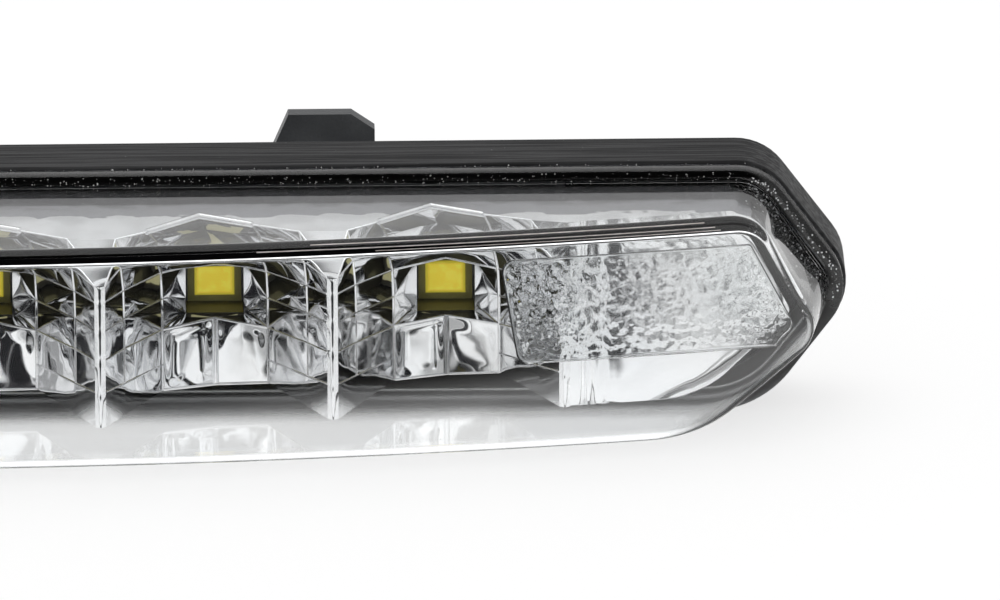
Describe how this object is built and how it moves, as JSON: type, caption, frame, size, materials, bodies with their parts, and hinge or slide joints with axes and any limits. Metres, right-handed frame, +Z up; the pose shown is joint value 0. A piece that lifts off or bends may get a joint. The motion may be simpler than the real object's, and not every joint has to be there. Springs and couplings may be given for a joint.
{
  "type": "daytime running light",
  "caption": "Slim LED daytime running light with a bowed clear lens, faceted metallised reflector, black rim, finned heat sink and bracket feet.",
  "frame": {"origin": "middle of the line between the two bracket holes, on the flat underside of the bracket feet", "axes": "+X along the lamp to the viewer's right, -Y the way the light points, +Z up"},
  "size_m": [0.1822, 0.0606, 0.024],
  "materials": {
    "clear_lens": "clear polycarbonate, polished",
    "sealant": "black sealing bead",
    "metallised_reflector": "vacuum-metallised, mirror bright",
    "black_housing": "black, fine lengthwise streaks",
    "board_white": "white solder mask",
    "package_white": "white moulded frame",
    "phosphor_yellow": "yellow phosphor",
    "pad_grey": "soft thermal pad",
    "sink_aluminium": "extruded, satin",
    "gasket_rubber": "matte",
    "screw_steel": "zinc plated",
    "washer_steel": "zinc plated",
    "chip_black": "moulded package",
    "ferrite_grey": "shielded ferrite",
    "capacitor_tan": "ceramic chip",
    "connector_white": "nylon",
    "grommet_rubber": "matte",
    "vent_plastic": "matte",
    "bracket_black": "black powder coat"
  },
  "bodies": {
    "root": {"board_connector": "connector_white", "board_screws": "screw_steel", "bracket_left": "bracket_black", "bracket_right": "bracket_black", "bracket_screws": "screw_steel", "bracket_washers": "washer_steel", "cable_grommet": "grommet_rubber", "capacitors": "capacitor_tan", "diode": "chip_black", "driver_chip": "chip_black", "heat_sink": "sink_aluminium", "heat_sink_screws": "screw_steel", "housing": "black_housing", "inductor": "ferrite_grey", "led_board": "board_white", "led_package_1": "package_white", "led_package_2": "package_white", "led_package_3": "package_white", "led_package_4": "package_white", "led_package_5": "package_white", "led_package_6": "package_white", "led_phosphor_1": "phosphor_yellow", "led_phosphor_2": "phosphor_yellow", "led_phosphor_3": "phosphor_yellow", "led_phosphor_4": "phosphor_yellow", "led_phosphor_5": "phosphor_yellow", "led_phosphor_6": "phosphor_yellow", "lens_cover": "clear_lens", "lens_seal": "sealant", "rear_gasket": "gasket_rubber", "reflector": "metallised_reflector", "thermal_pad": "pad_grey", "vent_plug": "vent_plastic"}
  },
  "joints": []
}
